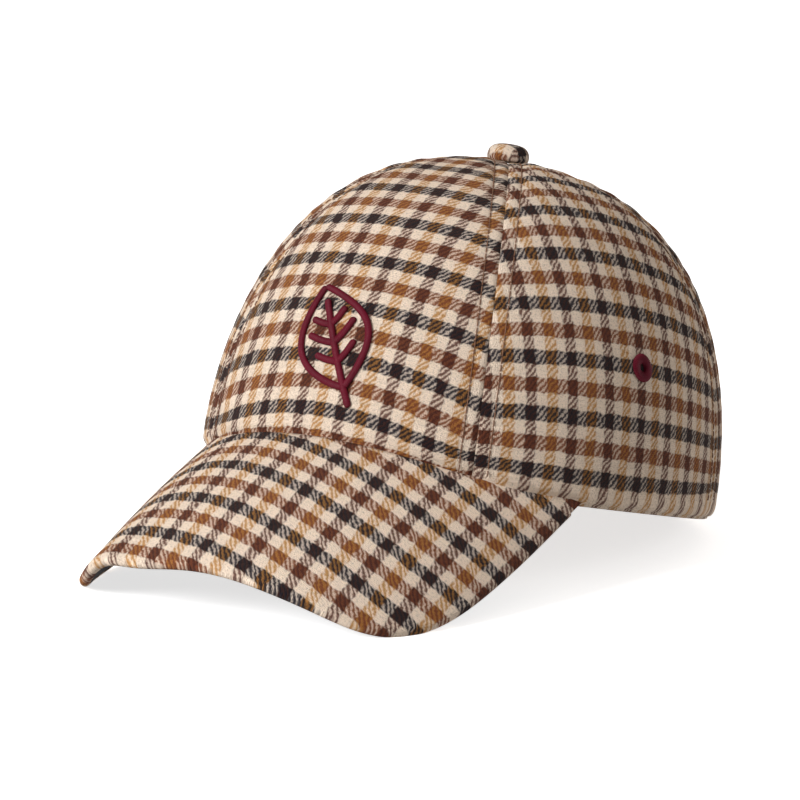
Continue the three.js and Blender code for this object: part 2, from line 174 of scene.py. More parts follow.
def turning_point(low, high, test):
    """The values between low and high where test turns from true to false."""
    for _ in range(HALVINGS):
        middle = (low + high) / 2
        holds = test(middle)
        low = np.where(holds, middle, low)
        high = np.where(holds, high, middle)
    return (low + high) / 2


def roundness(angle, key):
    return mix(BACK_ROUNDNESS[key], FRONT_ROUNDNESS[key], (1 + np.cos(angle)) / 2)


def lift_at_height(angle, height):
    """The climb along the crown's profile, in radians, from 0 at the rim to a quarter turn at the top."""
    share = np.clip(np.asarray(height) / CROWN_HEIGHT, 0, 1)
    return np.arcsin(share ** (roundness(angle, "up") / 2))


def crown_profile(angle, lift):
    n = PLAN_ROUNDNESS
    across = np.abs(np.sin(angle) / (CROWN_WIDTH / 2)) ** n
    along = np.abs(np.cos(angle) / (CROWN_LENGTH / 2)) ** n
    height = CROWN_HEIGHT * np.sin(lift) ** (2 / roundness(angle, "up"))
    inward = np.cos(lift) ** (2 / roundness(angle, "across"))
    tuck = RIM_TUCK_DEPTH * np.maximum(0, 1 - height / RIM_TUCK_HEIGHT) ** 2
    return height, (across + along) ** (-1 / n) * inward - tuck, TOP_SETBACK * (1 - inward)


def crown_point(angle, lift):
    height, radius, setback = crown_profile(angle, lift)
    return np.stack([radius * np.sin(angle), setback - radius * np.cos(angle), height], -1)


def unit(vectors):
    return vectors / np.linalg.norm(vectors, axis=-1, keepdims=True)


def crown_normal(angle, lift):
    safe = np.clip(lift, 2 * SMALL_STEP, math.pi / 2 - 2 * SMALL_STEP)
    around = crown_point(angle + SMALL_STEP, safe) - crown_point(angle - SMALL_STEP, safe)
    upwards = crown_point(angle, safe + SMALL_STEP) - crown_point(angle, safe - SMALL_STEP)
    return unit(np.cross(around, upwards))


def crown_radius_at(points):
    angle = np.arctan2(points[..., 0], -points[..., 1])
    outer = crown_point(angle, lift_at_height(angle, points[..., 2]))
    return np.hypot(outer[..., 0], outer[..., 1])


# Shape of the visor

SLOPE = math.radians(VISOR_SLOPE)
VISOR_FRONT = np.array([0, -CROWN_LENGTH / 2, VISOR_JOIN_HEIGHT])
VISOR_FORWARD = np.array([0, -math.cos(SLOPE), -math.sin(SLOPE)])
VISOR_UP = np.array([0, -math.sin(SLOPE), math.cos(SLOPE)])
SIDEWAYS = np.array([1, 0, 0])


def arch_radius(forward):
    return VISOR_ARCH_RADIUS - VISOR_ARCH_TAPER * forward


def curl_drop(forward):
    return VISOR_CURL * (np.maximum(forward, 0) / VISOR_REACH) ** 2


def hand_bend(across, forward):
    """How far the visor is bent up, or down, from its plain arch."""
    lift = np.where(across > 0, HAND_LIFT["left"], HAND_LIFT["right"])
    lift = lift * np.exp(-(((np.abs(across) - HAND_LIFT_PLACE) / HAND_LIFT_WIDTH) ** 2))
    lift = lift * (np.maximum(forward, 0) / VISOR_REACH) ** 2
    across_share = (across + CORNER_DROP_PLACE[0]) / CORNER_DROP_WIDTH[0]
    forward_share = (forward - CORNER_DROP_PLACE[1]) / CORNER_DROP_WIDTH[1]
    return lift - CORNER_DROP * np.exp(-across_share ** 2 - forward_share ** 2)


def visor_point(across, forward, depth):
    """A point of the visor from its flat-cut place and its depth below the top face."""
    across, forward, depth = np.broadcast_arrays(across, forward, depth)
    radius = arch_radius(forward)
    turn = across / radius
    rise = (radius - depth) * np.cos(turn) - radius - curl_drop(forward) + hand_bend(across, forward)
    side = (radius - depth) * np.sin(turn)
    parts = ((forward, VISOR_FORWARD), (rise, VISOR_UP), (side, SIDEWAYS))
    return VISOR_FRONT + sum(length[..., None] * direction for length, direction in parts)


def is_below_visor(points, depth):
    offset = points - VISOR_FRONT
    forward = offset @ VISOR_FORWARD
    radius = arch_radius(forward)
    return np.hypot(offset[..., 0], offset @ VISOR_UP + curl_drop(forward) + radius) < radius - depth


def visor_start(across, depth, clearance):
    """How far forward the visor's face starts, at a clearance from the crown."""
    def is_in_crown(forward):
        points = visor_point(across, forward, depth)
        return np.hypot(points[..., 0], points[..., 1]) < crown_radius_at(points) + clearance

    across = np.asarray(across, float)
    low = np.full(across.shape, -CROWN_LENGTH / 2)
    return turning_point(low, low + CROWN_LENGTH * 3 / 4, is_in_crown)


VISOR_END_FORWARD = float(visor_start(VISOR_HALF_WIDTH, VISOR_THICKNESS / 2, FIT_GAP))
VISOR_END = visor_point(VISOR_HALF_WIDTH, VISOR_END_FORWARD, VISOR_THICKNESS / 2)
VISOR_END_ANGLE = math.atan2(VISOR_END[0], -VISOR_END[1])


def visor_edge(turn):
    """The flat-cut edge of the visor, an oval with squared corners."""
    n = VISOR_SQUARENESS
    size = (np.abs(np.sin(turn)) ** n + np.abs(np.cos(turn)) ** n) ** (-1 / n)
    forward = VISOR_END_FORWARD + (VISOR_REACH - VISOR_END_FORWARD) * size * np.cos(turn)
    return np.stack([VISOR_HALF_WIDTH * size * np.sin(turn), forward], -1)


def visor_inset(turn, margin):
    """The visor's flat-cut edge, moved inwards by a margin."""
    along = unit(visor_edge(turn + SMALL_STEP) - visor_edge(turn - SMALL_STEP))
    inwards = np.stack([along[..., 1], -along[..., 0]], -1)
    return visor_edge(turn) + inwards * np.asarray(margin)[..., None]


def rim_height(angle):
    """The crown's lower edge: level with the visor's underside where that is sewn on."""
    angle = np.asarray(angle, float)
    low = np.zeros(angle.shape)

    def is_covered(height):
        return is_below_visor(crown_point(angle, lift_at_height(angle, height)), VISOR_THICKNESS)

    sewn = turning_point(low, low + CROWN_HEIGHT / 3, is_covered)
    return np.where(np.abs(angle) > VISOR_END_ANGLE, 0, sewn)


# Standing on the table

EDGE_SAMPLES = 241
STEEPEST_PITCH = 40


def height_when_pitched(points, pitch):
    return points[..., 2] * np.cos(pitch) - points[..., 1] * np.sin(pitch)


def resting_pitch():
    """The pitch, nose up, at which the visor's corners and the back of the rim stand equally low."""
    edge = visor_edge(np.linspace(-math.pi / 2, math.pi / 2, EDGE_SAMPLES))
    visor = visor_point(edge[:, 0], edge[:, 1], VISOR_THICKNESS / 2)

    def nose_is_lower(pitch):
        lowest = height_when_pitched(visor, pitch).min() - VISOR_THICKNESS / 4
        return lowest < height_when_pitched(crown_point(math.pi, 0.0), pitch)

    return float(turning_point(0.0, math.radians(STEEPEST_PITCH), nose_is_lower))


PITCH = resting_pitch()
LIFT_TO_TABLE = -float(height_when_pitched(crown_point(math.pi, 0.0), PITCH)) - RESTING_PRESS
TURNED = np.array([
    [1, 0, 0],
    [0, math.cos(PITCH), math.sin(PITCH)],
    [0, -math.sin(PITCH), math.cos(PITCH)],
])
BUTTON_LOW, BUTTON_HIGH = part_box("top_button")


def own_to_table(points):
    turned = points @ TURNED.T
    turned[..., 2] += LIFT_TO_TABLE
    return turned


def centre_shift():
    """How far the cap is moved along Y, read from where its button stands in the frame."""
    foot = own_to_table(np.array([0, TOP_SETBACK, CROWN_HEIGHT + FIT_GAP + BUTTON_HEIGHT / 2]))
    return (BUTTON_LOW.y + BUTTON_HIGH.y) / 2 / MM - foot[1]


CENTRE_SHIFT = centre_shift()


def to_frame(points):
    """From the cap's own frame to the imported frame, in metres, pressed flat where it stands."""
    placed = own_to_table(np.asarray(points, float))
    placed[..., 1] += CENTRE_SHIFT
    placed[..., 2] = np.maximum(placed[..., 2], 0)
    return placed * MM


# Building pieces

def grid_faces(rows, columns, closed_rows=False, closed_columns=False):
    """Quads of a grid of points that is stored row by row."""
    row_count = rows if closed_rows else rows - 1
    column_count = columns if closed_columns else columns - 1
    r, c = np.meshgrid(np.arange(row_count), np.arange(column_count), indexing="ij")
    here, beside = r * columns + c, r * columns + (c + 1) % columns
    above = (r + 1) % rows * columns
    return np.stack([here, beside, above + (c + 1) % columns, above + c], -1).reshape(-1, 4)


def tube_faces(rows, columns):
    """Faces of a tube, closed at both ends, whose rows of points run round it."""
    ends = [list(range(columns)), list(range((rows - 1) * columns, rows * columns))[::-1]]
    return grid_faces(rows, columns, closed_columns=True).tolist() + ends


def sheet_faces(rows, columns):
    """Faces of a sheet with thickness, whose rows of points run up one side of it and down the other."""
    faces = grid_faces(rows, columns, closed_rows=True).tolist()
    first, last = 0, rows - 1
    while last - first > 1:
        corners = sorted({first, first + 1, last - 1, last})
        faces.append([row * columns for row in corners[::-1]])
        faces.append([row * columns + columns - 1 for row in corners])
        first += 1
        last -= 1
    return faces


def join_tubes(tubes):
    """The points and faces of several closed tubes, each given as rows of points round it."""
    points, faces, count = [], [], 0
    for tube in tubes:
        faces += [[index + count for index in face] for face in tube_faces(*tube.shape[:2])]
        points.append(tube.reshape(-1, 3))
        count += len(points[-1])
    return np.concatenate(points), faces


def smooth_profile(points, steps):
    """More points along a profile, on a smooth curve through it."""
    points = np.array(points, float)
    fine = np.linspace(0, len(points) - 1, steps)
    slopes = np.gradient(points, axis=0)
    low = np.minimum(fine.astype(int), len(points) - 2)
    t = (fine - low)[:, None]
    start = (2 * t**3 - 3 * t**2 + 1) * points[low] + (t**3 - 2 * t**2 + t) * slopes[low]
    end = (3 * t**2 - 2 * t**3) * points[low + 1] + (t**3 - t**2) * slopes[low + 1]
    return start + end


def make_piece(name, points, faces, finish, cloth=None):
    """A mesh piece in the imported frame. The cloth's flat place, in millimetres, is kept as an attribute."""
    mesh = bpy.data.meshes.new(name)
    mesh.from_pydata(to_frame(points).reshape(-1, 3).tolist(), [], [list(face) for face in faces])
    if cloth is not None:
        places = np.concatenate([cloth.reshape(-1, 2), np.zeros((cloth.size // 2, 1))], 1)
        attribute = mesh.attributes.new("cloth", "FLOAT_VECTOR", "POINT")
        attribute.data.foreach_set("vector", places.astype(np.float32).ravel())
    mesh.polygons.foreach_set("use_smooth", [True] * len(mesh.polygons))
    mesh.materials.append(finish)
    mesh.update()
    piece = bpy.data.objects.new(name, mesh)
    bpy.context.scene.collection.objects.link(piece)
    turn_faces_out(piece)
    return piece


def turn_faces_out(piece):
    bpy.context.view_layer.objects.active = piece
    bpy.ops.object.select_all(action="DESELECT")
    piece.select_set(True)
    bpy.ops.object.mode_set(mode="EDIT")
    bpy.ops.mesh.select_all(action="SELECT")
    bpy.ops.mesh.normals_make_consistent(inside=False)
    bpy.ops.object.mode_set(mode="OBJECT")


def stand_for(piece, node):
    """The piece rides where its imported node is, and is shown in its place."""
    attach(piece, "root")
    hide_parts(node)


# Materials

class Value:
    """A shader socket that Python arithmetic works on: each operation adds its Math node."""

    def __init__(self, finish, socket):
        self.finish = finish
        self.socket = socket

    def __add__(self, other):
        return self.finish.maths("ADD", self, other)

    def __radd__(self, other):
        return self.finish.maths("ADD", other, self)

    def __sub__(self, other):
        return self.finish.maths("SUBTRACT", self, other)

    def __rsub__(self, other):
        return self.finish.maths("SUBTRACT", other, self)

    def __mul__(self, other):
        return self.finish.maths("MULTIPLY", self, other)

    def __rmul__(self, other):
        return self.finish.maths("MULTIPLY", other, self)

    def __truediv__(self, other):
        return self.finish.maths("DIVIDE", self, other)

    def __mod__(self, other):
        return self.finish.maths("FLOORED_MODULO", self, other)

    def __abs__(self):
        return self.finish.maths("ABSOLUTE", self)


class Finish:
    """The nodes of one material."""

    def __init__(self, name):
        self.material = bpy.data.materials.new(name)
        self.material.use_nodes = True
        self.tree = self.material.node_tree
        self.tree.nodes.clear()

    def node(self, kind, settings=None, sockets=None):
        """Adds a node: its settings first, then the values or links of its sockets."""
        made = self.tree.nodes.new(kind)
        for name, setting in (settings or {}).items():
            setattr(made, name, setting)
        for name, value in (sockets or {}).items():
            if isinstance(value, Value):
                self.tree.links.new(value.socket, made.inputs[name])
            else:
                made.inputs[name].default_value = value
        return made

    def maths(self, operation, *values):
        made = self.node("ShaderNodeMath", {"operation": operation}, dict(enumerate(values)))
        return Value(self, made.outputs[0])

    def clamp(self, value):
        made = self.node("ShaderNodeClamp", {}, {"Value": value, "Min": 0.0, "Max": 1.0})
        return Value(self, made.outputs[0])

    def wave(self, value):
        """A smooth wave from -1 to 1 that repeats every whole number."""
        return self.maths("SINE", value * math.tau)

    def mix(self, first, second, share):
        """Mixes two colours."""
        made = self.node("ShaderNodeMix", {"data_type": "RGBA"}, {"Factor": share, 6: first, 7: second})
        return Value(self, made.outputs[2])

    def gamma(self, shade, power):
        made = self.node("ShaderNodeGamma", {}, {"Color": shade, "Gamma": power})
        return Value(self, made.outputs[0])

    def vector(self, x, y, z=0.0):
        return Value(self, self.node("ShaderNodeCombineXYZ", {}, {0: x, 1: y, 2: z}).outputs[0])

    def noise(self, place, scale, detail=2.0, roughness=0.5):
        sockets = {"Vector": place, "Scale": scale, "Detail": detail, "Roughness": roughness}
        return Value(self, self.node("ShaderNodeTexNoise", {}, sockets).outputs["Fac"])

    def cloth_place(self):
        """The flat place on the cloth, in millimetres: across it and up it."""
        place = self.node("ShaderNodeAttribute", {"attribute_name": "cloth"}).outputs["Vector"]
        parts = self.node("ShaderNodeSeparateXYZ", {}, {0: Value(self, place)})
        return Value(self, parts.outputs[0]), Value(self, parts.outputs[1])

    def object_place(self):
        return Value(self, self.node("ShaderNodeTexCoord").outputs["Object"])

    def bump(self, height, distance):
        sockets = {"Height": height, "Distance": distance, "Strength": 1.0}
        return Value(self, self.node("ShaderNodeBump", {}, sockets).outputs[0])

    def surface(self, sockets):
        shader = self.node("ShaderNodeBsdfPrincipled", {}, sockets)
        self.node("ShaderNodeOutputMaterial", {}, {"Surface": Value(self, shader.outputs[0])})
        return self.material


def colour(red, green, blue):
    """A linear colour from the 0 to 255 values of a screen colour."""
    shares = [value / 255 for value in (red, green, blue)]
    return (*[s / 12.92 if s <= 0.04045 else ((s + 0.055) / 1.055) ** 2.4 for s in shares], 1.0)


CREAM = colour(250, 229, 208)
CHOCOLATE = colour(66, 32, 26)
OCHRE = colour(186, 124, 60)
NAVY = colour(20, 19, 29)
BROWN = colour(116, 62, 40)
BLACK = colour(0, 0, 0)
YARNS_PER_REPEAT = 32
YARNS_PER_TWILL = 4
STRIPE_SHARE = 2 / 7.6
STRIPE_SOFTNESS = 0.55
YARN_WAVER = {"scale": 0.35, "reach": 2.2}
YARN_STEP_SHARPNESS = 0.85
# How fast a yarn's thickness changes: from yarn to yarn, and along a yarn for each millimetre
SLUB_SCALE = {"beside": 0.9, "along": 0.25}
# The cloth is darker where the thickness of a yarn, or the noise of the flecks, is under a level.
THIN_YARN = {"under": 0.6, "darkness": 0.45}
FLECK = {"scale": 1.5, "under": 0.49, "darkness": 2.6}
TWILL_WANDER = 0.8
WEFT_SHARE = 0.56
TWILL_CONTRAST = 0.35
TWEED_RELIEF = {"twill": 0.5, "yarn": 0.25, "fleck": 1.2, "slub": 0.5}
TWEED_BUMP = 0.0003
SCREEN_GAMMA = 2.2


def stripe(finish, place, centre, repeat):
    """1 on the stripe round a centre, a little over a quarter of the repeat wide, with soft sides."""
    offset = abs((place - (centre - repeat / 2)) % repeat - repeat / 2)
    return finish.clamp((repeat * STRIPE_SHARE / 2 - offset) / STRIPE_SOFTNESS + 0.5)


def stepped(finish, yarns):
    """A count of yarns that climbs in soft steps, one at each yarn."""
    return yarns - finish.wave(yarns) * (YARN_STEP_SHARPNESS / math.tau)


def wavering(finish, place, beside):
    """The place across the yarns, which don't lie quite straight."""
    waver = finish.noise(finish.vector(place, beside), YARN_WAVER["scale"], detail=4.0)
    return place + (waver - 0.5) * YARN_WAVER["reach"]


def slubs(finish, yarns, length):
    """How thick each yarn is along its own length, from 0 to 1."""
    place = finish.vector(yarns * SLUB_SCALE["beside"], length * SLUB_SCALE["along"])
    return finish.noise(place, 1.0, detail=3.0, roughness=0.6)


def striped_yarns(finish, place, repeat, stripes, thickness):
    """Cream yarns with stripes of two colours in turn, darker where a yarn is thin."""
    yarns = finish.mix(CREAM, stripes[0], stripe(finish, place, 0.0, repeat))
    yarns = finish.mix(yarns, stripes[1], stripe(finish, place, repeat / 2, repeat))
    thin = finish.clamp(THIN_YARN["under"] - thickness)
    return finish.mix(yarns, BLACK, thin * THIN_YARN["darkness"])


def woven(finish, warp, weft, twill):
    """The colour of the cloth where warp and weft show in turn, mixed by eye and not by light."""
    share = finish.clamp(WEFT_SHARE + twill * TWILL_CONTRAST)
    screen = 1 / SCREEN_GAMMA
    cloth = finish.mix(finish.gamma(warp, screen), finish.gamma(weft, screen), share)
    return finish.gamma(cloth, SCREEN_GAMMA)


def tweed():
    """Gun club check in a two by two twill of woollen yarn."""
    finish = Finish("tweed check")
    across, up = finish.cloth_place()
    cloth_at = finish.vector(across, up)
    across = wavering(finish, across, up)
    up = wavering(finish, up, across)
    ends = across / (WARP_REPEAT / YARNS_PER_REPEAT)
    picks = up / (WEFT_REPEAT / YARNS_PER_REPEAT)
    warp_slubs, weft_slubs = slubs(finish, ends, up), slubs(finish, picks, across)
    warp = striped_yarns(finish, across, WARP_REPEAT, (CHOCOLATE, OCHRE), warp_slubs)
    weft = striped_yarns(finish, up, WEFT_REPEAT, (NAVY, BROWN), weft_slubs)
    diagonal = (stepped(finish, ends) - stepped(finish, picks)) / YARNS_PER_TWILL
    twill = finish.wave(diagonal + (warp_slubs - weft_slubs) * TWILL_WANDER)
    fleck = finish.noise(cloth_at, FLECK["scale"], detail=4.0, roughness=0.75)
    dark_fleck = finish.clamp((FLECK["under"] - fleck) * FLECK["darkness"])
    relief = abs(twill) * TWEED_RELIEF["twill"] + fleck * TWEED_RELIEF["fleck"]
    relief = relief + (finish.wave(ends) + finish.wave(picks)) * TWEED_RELIEF["yarn"]
    relief = relief + (warp_slubs + weft_slubs) * TWEED_RELIEF["slub"]
    return finish.surface({
        "Base Color": finish.mix(woven(finish, warp, weft, twill), BLACK, dark_fleck),
        "Roughness": 0.95,
        "Specular IOR Level": 0.1,
        "Sheen Weight": 0.06,
        "Sheen Roughness": 0.6,
        "Sheen Tint": colour(244, 226, 204),
        "Normal": finish.bump(relief, TWEED_BUMP),
    })


LINING_YARN = 0.6
LINING_BUMP = 0.00012
EMBROIDERY_BUMP = 0.0001


def lining_cloth():
    """Plain black cotton under the visor."""
    finish = Finish("black cotton")
    across, up = finish.cloth_place()
    weave = finish.wave(across / LINING_YARN) * finish.wave(up / LINING_YARN)
    fleck = finish.noise(finish.vector(across, up), 1.2, detail=3.0)
    shade = finish.mix(colour(14, 13, 15), colour(30, 28, 31), fleck)
    return finish.surface({
        "Base Color": shade,
        "Roughness": 0.88,
        "Specular IOR Level": 0.2,
        "Sheen Weight": 0.1,
        "Normal": finish.bump(weave + fleck, LINING_BUMP),
    })


def burgundy_thread():
    """Shiny embroidery thread."""
    finish = Finish("burgundy thread")
    place = finish.object_place()
    fibre = finish.noise(place, 1500.0)
    patch = finish.noise(place, 180.0)
    shade = finish.mix(colour(66, 3, 18), colour(106, 8, 36), patch)
    return finish.surface({
        "Base Color": shade,
        "Roughness": 0.42 + fibre * 0.2,
        "Specular IOR Level": 0.16,
        "Normal": finish.bump(fibre, EMBROIDERY_BUMP),
    })


def floor_finish():
    finish = Finish("pale floor")
    grain = finish.noise(finish.object_place(), 3.0)
    return finish.surface({
        "Base Color": finish.mix(colour(249, 249, 249), colour(252, 252, 252), grain),
        "Roughness": 0.9,
        "Specular IOR Level": 0.1,
        "Emission Color": colour(255, 255, 255),
        "Emission Strength": 0.7,
    })


def brown_thread():
    """Dull sewing thread of the rows beside the seams."""
    finish = Finish("brown thread")
    fibre = finish.noise(finish.object_place(), 2500.0)
    return finish.surface({
        "Base Color": finish.mix(colour(92, 62, 48), colour(140, 104, 82), fibre),
        "Roughness": 0.8,
        "Specular IOR Level": 0.2,
    })


TWEED = tweed()
LINING_CLOTH = lining_cloth()
BURGUNDY_THREAD = burgundy_thread()
BROWN_THREAD = brown_thread()


# Cloth's flat place on the crown

MERIDIAN_STEPS = 500
MERIDIAN_END = 0.01


def meridian(angle):
    """Points up the middle of a panel, how far up the cloth each one is, and the direction there."""
    lift = np.linspace(0, math.pi / 2 - MERIDIAN_END, MERIDIAN_STEPS)
    points = crown_point(np.full(MERIDIAN_STEPS, angle), lift)
    steps = np.linalg.norm(np.diff(points, axis=0), axis=1)
    up = np.concatenate([[0], np.cumsum(steps)])
    return points, up, unit(np.gradient(points, up, axis=0))


def flat_place(points, angle):
    """Where points of a panel lie on its flat cloth: across from its middle line and up from the rim."""
    line, up, direction = meridian(angle)
    side = np.array([math.cos(angle), math.sin(angle), 0])

    def along(table, height):
        return np.stack([np.interp(height, up, table[:, axis]) for axis in range(3)], -1)

    def is_above(height):
        return ((points - along(line, height)) * along(direction, height)).sum(-1) > 0

    low = np.zeros(points.shape[:-1])
    height = turning_point(low, low + up[-1], is_above)
    offset = points - along(line, height)
    outwards = np.cross(along(direction, height), side)
    wide = (offset * side).sum(-1)
    deep = np.maximum(np.abs((offset * outwards).sum(-1)), 1e-6)
    arc = (wide ** 2 + deep ** 2) / deep * np.arctan2(deep, np.abs(wide))
    return np.stack([arc * np.sign(wide), height], -1)


# Crown panels

SIDE_MIDDLE = (FRONT_PANEL_ANGLE + SIDE_PANEL_ANGLE) / 2
BACK_PANEL_ANGLE = (360 - FRONT_PANEL_ANGLE - 2 * SIDE_PANEL_ANGLE) / 2
BACK_MIDDLE = 180 - BACK_PANEL_ANGLE / 2
# For each panel: its middle and width in degrees, and where a chocolate and a navy stripe cross on it
PANELS = {
    "front_panel": {"middle": 0, "width": FRONT_PANEL_ANGLE, "crossing": (-5.5, 16.5)},
    "side_panel_left": {"middle": SIDE_MIDDLE, "width": SIDE_PANEL_ANGLE, "crossing": (-45.5, 8.6)},
    "back_panel_left": {"middle": BACK_MIDDLE, "width": BACK_PANEL_ANGLE, "crossing": (-30.0, 8.6)},
    "back_panel_right": {"middle": -BACK_MIDDLE, "width": BACK_PANEL_ANGLE, "crossing": (30.0, 8.6)},
    "side_panel_right": {"middle": -SIDE_MIDDLE, "width": SIDE_PANEL_ANGLE, "crossing": (45.5, 8.6)},
}
# Rows of points up a panel, closer together at its hem, where each of the lowest ones is split in three
PANEL_ROWS = 120
ROW_SPREAD = 1.3
HEM_ROWS = 4
HEM_ROW_PARTS = 3
PANEL_MIDDLE_COLUMNS = 22
EDGE_STEPS = 4
LEVEL_EDGE_CLIMB = 0.12
TIP_RADIUS = 1.8
# Distances from a seam at which the panels have columns of points, squeezed where a panel is narrow
SEAM_COLUMNS = np.array([0, 0.35, 0.8, 1.4, 2.2, 3.0, 3.7, 4.1, 4.45, 4.75, 5.1, 5.6, 6.4, 7.6, 9.2, 11.5])
NARROW_HALF_WIDTH = 1.6 * SEAM_COLUMNS[-1]


def tip_lift(angle):
    low = np.zeros(np.shape(angle))
    return turning_point(low, low + math.pi / 2, lambda lift: crown_profile(angle, lift)[1] > TIP_RADIUS)


def panel_sides(half_width):
    """Columns of a row of a panel, from -1 to 1, close together near its seams."""
    squeeze = np.minimum(1, half_width / NARROW_HALF_WIDTH)
    near = 1 - SEAM_COLUMNS * (squeeze / half_width)[:, None]
    far = near[:, -1:] * np.linspace(1, -1, PANEL_MIDDLE_COLUMNS + 1)[None, 1:-1]
    return np.concatenate([near, far, -near[:, ::-1]], 1)[:, ::-1]


def panel_climb():
    """The rows of a panel, from 0 at its hem to 1 at its tip, close together at the hem."""
    near_hem = np.linspace(0, HEM_ROWS, HEM_ROW_PARTS * HEM_ROWS, endpoint=False)
    rows = np.concatenate([near_hem, np.arange(HEM_ROWS, PANEL_ROWS + 1)])
    return (rows / PANEL_ROWS) ** ROW_SPREAD


def seam_relief(to_seam, up):
    """How far the cloth stands out near a seam, from its distance and the height up the cloth."""
    tension = np.interp(up / up.max(), TENSION_HEIGHTS, TENSIONS)
    roll = -SEAM_ROLL_DEPTH * np.exp(-((to_seam / SEAM_ROLL_WIDTH) ** 2))
    from_stitch = to_seam - TOPSTITCH_DISTANCE
    each = 1 - STITCH_PULL * (1 - np.cos(math.tau * up / STITCH_LENGTH))
    stitch = -TOPSTITCH_DEPTH * np.exp(-((from_stitch / TOPSTITCH_WIDTH) ** 2)) * each
    outside = np.clip(from_stitch / PUFF_WIDTH, 0, None)
    wander = PUCKER_WANDER["turn"] * np.sin(up / PUCKER_WANDER["length"])
    ripple = np.sin(math.tau * up / PUCKER_LENGTH + wander)
    puff = (PUFF_HEIGHT + PUCKER_HEIGHT * ripple) * outside * np.exp(1 - outside)
    return roll + tension * (stitch + puff)


def join_height(angle):
    """Where the visor's top face meets the crown, or far below the rim where there is no visor."""
    low = np.zeros(np.shape(angle))

    def is_covered(height):
        return is_below_visor(crown_point(angle, lift_at_height(angle, height)), 0)

    join = turning_point(low, low + CROWN_HEIGHT / 3, is_covered)
    return np.where(np.abs(angle) > VISOR_END_ANGLE, -CROWN_HEIGHT, join)


def hem_curl(angle, height):
    """How far the cloth stands out at its hem: a little fuller, until it curls under."""
    fullness = HEM_FULLNESS * RIM_TUCK_DEPTH * np.maximum(0, 1 - height / RIM_TUCK_HEIGHT) ** 2
    to_hem = np.clip(1 - (height - rim_height(angle)) / HEM_CURL_HEIGHT, 0, 1)
    return fullness - HEM_CURL_DEPTH * (1 - np.sqrt(1 - to_hem ** 2))


def join_relief(angle, height):
    """The cloth rolls inwards where it goes down behind the visor."""
    above_join = np.maximum(height - join_height(angle), 0)
    return -JOIN_ROLL_DEPTH * np.exp(-((above_join / JOIN_ROLL_WIDTH) ** 2))


def panel_grid(middle, half_angle, climb):
    """The angle and lift of a panel's rows of points, and their distance to the nearest seam."""
    middle_lift = mix(lift_at_height(middle, rim_height(middle)), tip_lift(middle), climb)
    sides = panel_sides(half_angle * crown_profile(middle, middle_lift)[1])
    seam_angle = middle + sides * half_angle
    low_lift = lift_at_height(seam_angle, rim_height(seam_angle))
    lift = mix(low_lift, tip_lift(seam_angle), climb[:, None])
    radius = crown_profile(seam_angle, lift)[1]
    angle = seam_angle + sides * np.arcsin(SEAM_OVERLAP / 2 / radius)
    return angle, lift, (1 - np.abs(sides)) * half_angle * radius


def panel_outwards(angle, lift, climb):
    """Directions out of the cloth, level at its hem."""
    outwards = crown_normal(angle, lift)
    outwards[..., 2] *= np.minimum(1, climb / LEVEL_EDGE_CLIMB)[:, None]
    return unit(outwards)


def crown_panel(name):
    middle, width = (math.radians(PANELS[name][key]) for key in ("middle", "width"))
    climb = panel_climb()
    angle, lift, to_seam = panel_grid(middle, width / 2, climb)
    surface = crown_point(angle, lift)
    outwards = panel_outwards(angle, lift, climb)
    cloth = flat_place(surface, middle)
    curl = hem_curl(angle, surface[..., 2])
    relief = curl + seam_relief(to_seam, cloth[..., 1]) + join_relief(angle, surface[..., 2])
    outer = surface + outwards * relief[..., None]
    inner = surface + outwards * (curl - CLOTH_THICKNESS)[..., None]
    points = np.concatenate([inner[::-1], rounded_hem(outer[0], inner[0]), outer])
    places = np.concatenate([cloth[::-1], hem_places(cloth[:1]), cloth])
    faces = sheet_faces(*points.shape[:2])
    piece = make_piece(name + "_cloth", points, faces, TWEED, check_place(name, places))
    stand_for(piece, name)


def rounded_hem(outer_edge, inner_edge):
    """Rows of points that round off the cloth's lower edge, from the inner face to the outer one."""
    turns = np.linspace(0, math.pi, EDGE_STEPS + 1)[1:-1, None, None]
    centre = (outer_edge + inner_edge) / 2
    reach = (inner_edge - outer_edge) / 2
    down = np.array([0, 0, -CLOTH_THICKNESS / 2])
    return centre + reach * np.cos(turns) + down * np.sin(turns)


def hem_places(edge):
    """Flat places of the rounded hem's rows, below those of the cloth's edge."""
    below = -CLOTH_THICKNESS * np.linspace(1, 0, EDGE_STEPS + 1)[1:-1]
    return edge + np.stack([0 * below, below], -1)[:, None]


def check_place(name, places):
    across, up = places[..., 0], places[..., 1]
    if name == "front_panel":
        fan = 1 + FRONT_FAN * np.minimum(np.abs(across) / FRONT_FAN_HALF_WIDTH, FRONT_FAN_LIMIT) ** 2
        up = FRONT_LEVEL + (up - FRONT_LEVEL) / fan * FRONT_STRETCH
    else:
        up = up + HEM_STRETCH * np.exp(-((np.maximum(up, 0) / HEM_STRETCH_HEIGHT) ** 2))
    return np.stack([across, up], -1) - PANELS[name]["crossing"]


for panel_name in PANELS:
    crown_panel(panel_name)


# Rows of stitches beside the seams

SEWING_THREAD_RADIUS = 0.2
SEWING_THREAD_SIDES = 6
SEWING_STEP = 0.45
# Where a row starts, as a lift above the rim's plane or a height above the visor, and where it ends
TOPSTITCH_START_LIFT = 0.03
TOPSTITCH_OVER_VISOR = 1
TOPSTITCH_END_RADIUS = 9.0
# How the thread dips into the cloth at each stitch: how deep, in its own radii, and how sharply
THREAD_DIP = 3
THREAD_DIP_SHARPNESS = 6


